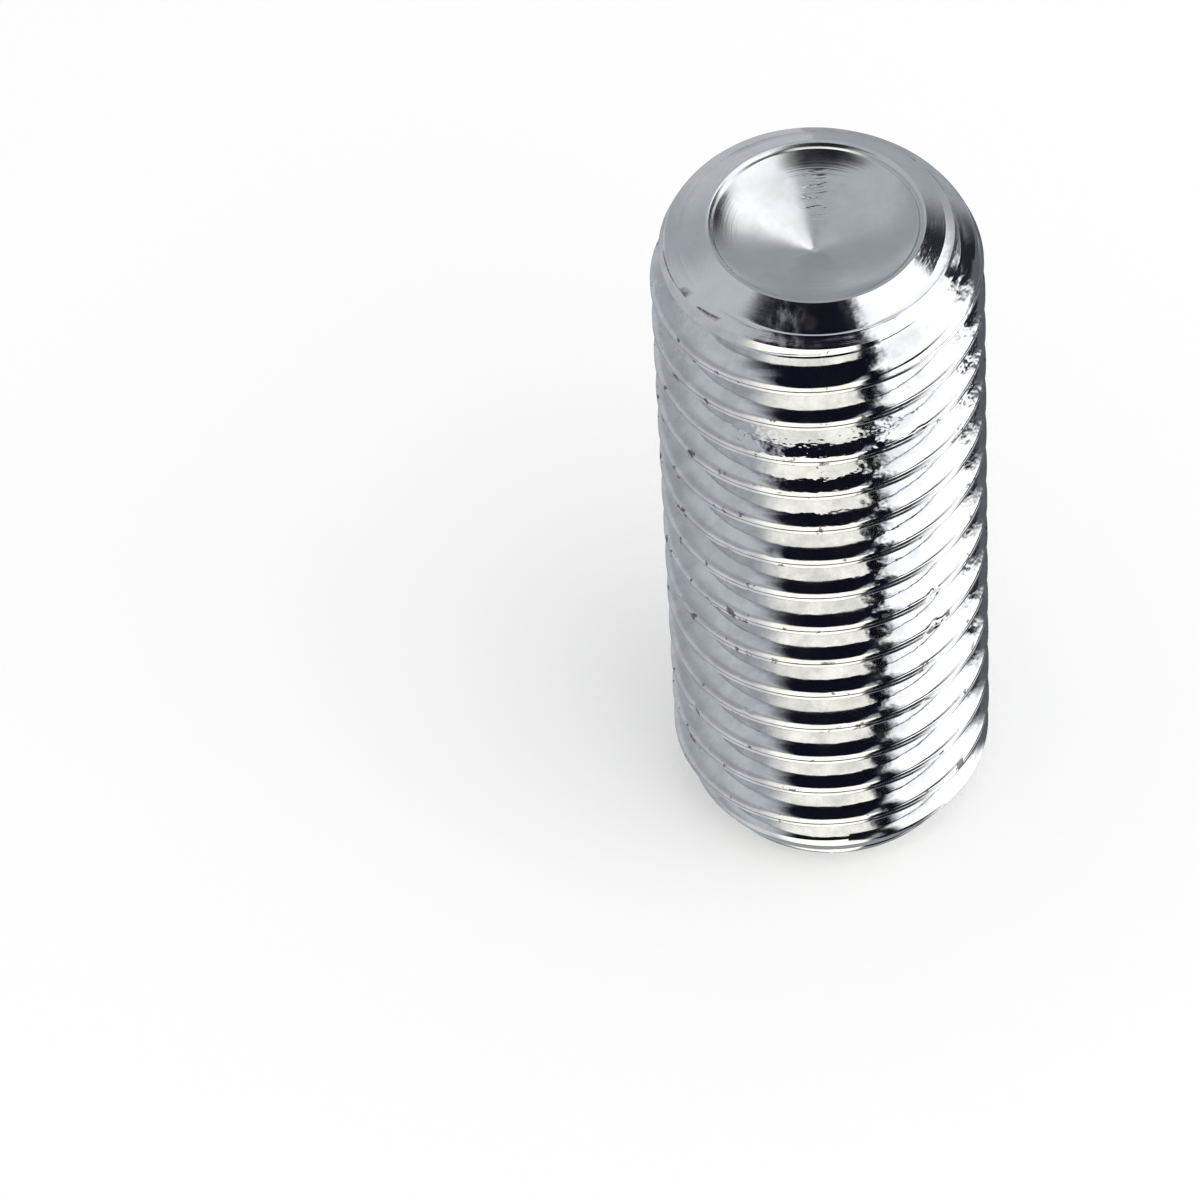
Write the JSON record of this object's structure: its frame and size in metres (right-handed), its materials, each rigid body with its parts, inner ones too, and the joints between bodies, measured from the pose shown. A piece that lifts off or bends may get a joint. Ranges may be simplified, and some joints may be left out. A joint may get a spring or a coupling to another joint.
{
  "type": "grub set screw",
  "caption": "Headless set screw, threaded along its whole length, with a hexagon socket in one end and a cup point at the other.",
  "frame": {"origin": "middle of the socket end face, on the axis of the thread", "axes": "+Z runs along the axis from the socket end to the cup point; X and Y lie in the socket end face, with two flats of the hexagon square to Y"},
  "size_m": [0.008, 0.008, 0.02],
  "materials": {
    "plated_steel": "bright plated steel, with fine turning marks on the cup point and small dents on the thread crests"
  },
  "bodies": {
    "root": {"set_screw": "plated_steel"}
  },
  "joints": []
}
